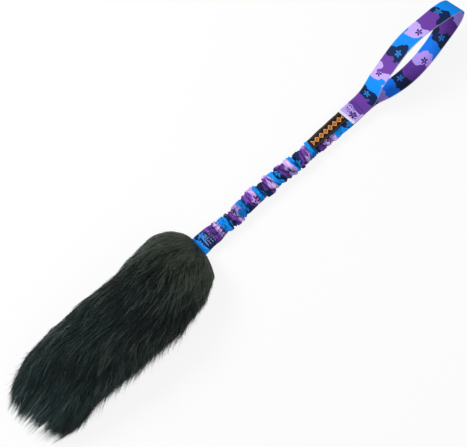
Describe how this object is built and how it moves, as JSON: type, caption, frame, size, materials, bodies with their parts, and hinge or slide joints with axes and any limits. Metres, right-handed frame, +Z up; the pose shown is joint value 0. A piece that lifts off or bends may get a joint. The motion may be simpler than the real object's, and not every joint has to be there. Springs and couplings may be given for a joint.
{
  "type": "bungee tug toy",
  "caption": "Dog tug toy: a long haired fur end, a gathered webbing sleeve over an elastic cord, and a webbing loop handle.",
  "frame": {"origin": "middle of the bounding box on the floor that the toy lies on", "axes": "+X along the sleeve from the fur to the handle, +Z up, away from the floor"},
  "size_m": [0.7594, 0.1172, 0.067],
  "materials": {
    "fur": "matte",
    "hide": "matte",
    "core_webbing": "matte",
    "sleeve_cloth": "matte",
    "handle_webbing": "matte",
    "cord_cover": "matte",
    "cord_rubber": "matte",
    "label": "satin",
    "dark_thread": "satin",
    "purple_thread": "satin"
  },
  "bodies": {
    "fur_end": {"fur_pile": "fur", "hide_tube": "hide", "core_strap": "core_webbing", "side_seam": "dark_thread", "neck_stitching": "dark_thread", "tail_stitching": "dark_thread", "core_bar_tack": "dark_thread"},
    "sleeve_foot": {"sleeve_tab": "sleeve_cloth", "tab_stitching": "dark_thread", "cord_lower_end": "cord_cover"},
    "bungee": {"gathered_sleeve": "sleeve_cloth", "cord_braid": "cord_cover", "rubber_core": "cord_rubber"},
    "sleeve_head": {"sleeve_top": "sleeve_cloth", "cord_upper_end": "cord_cover", "woven_label": "label", "label_stitching": "dark_thread"},
    "handle": {"handle_strap": "handle_webbing", "sleeve_end": "sleeve_cloth", "throat_stitch_front": "purple_thread", "throat_stitch_back": "purple_thread"}
  },
  "joints": [
    {"name": "neck_fold", "type": "hinge", "parent": "fur_end", "child": "sleeve_foot", "pos_m": [-0.06217, 0.01263, 0.008], "axis": [0, 1, 0], "range_deg": [-70, 70]},
    {"name": "bungee_sway", "type": "hinge", "parent": "sleeve_foot", "child": "bungee", "pos_m": [-0.02417, 0.01263, 0.008], "axis": [0, 0, 1], "range_deg": [-60, 60]},
    {"name": "bungee_stretch", "type": "slide", "parent": "bungee", "child": "sleeve_head", "axis": [1, 0, 0], "range_m": [0, 0.18], "stiffness_N_per_m": 300, "deforming": ["gathered_sleeve", "cord_braid", "rubber_core"]},
    {"name": "handle_fold", "type": "hinge", "parent": "sleeve_head", "child": "handle", "pos_m": [0.17673, 0.01263, 0.008], "axis": [0, 1, 0], "range_deg": [-70, 70]}
  ]
}
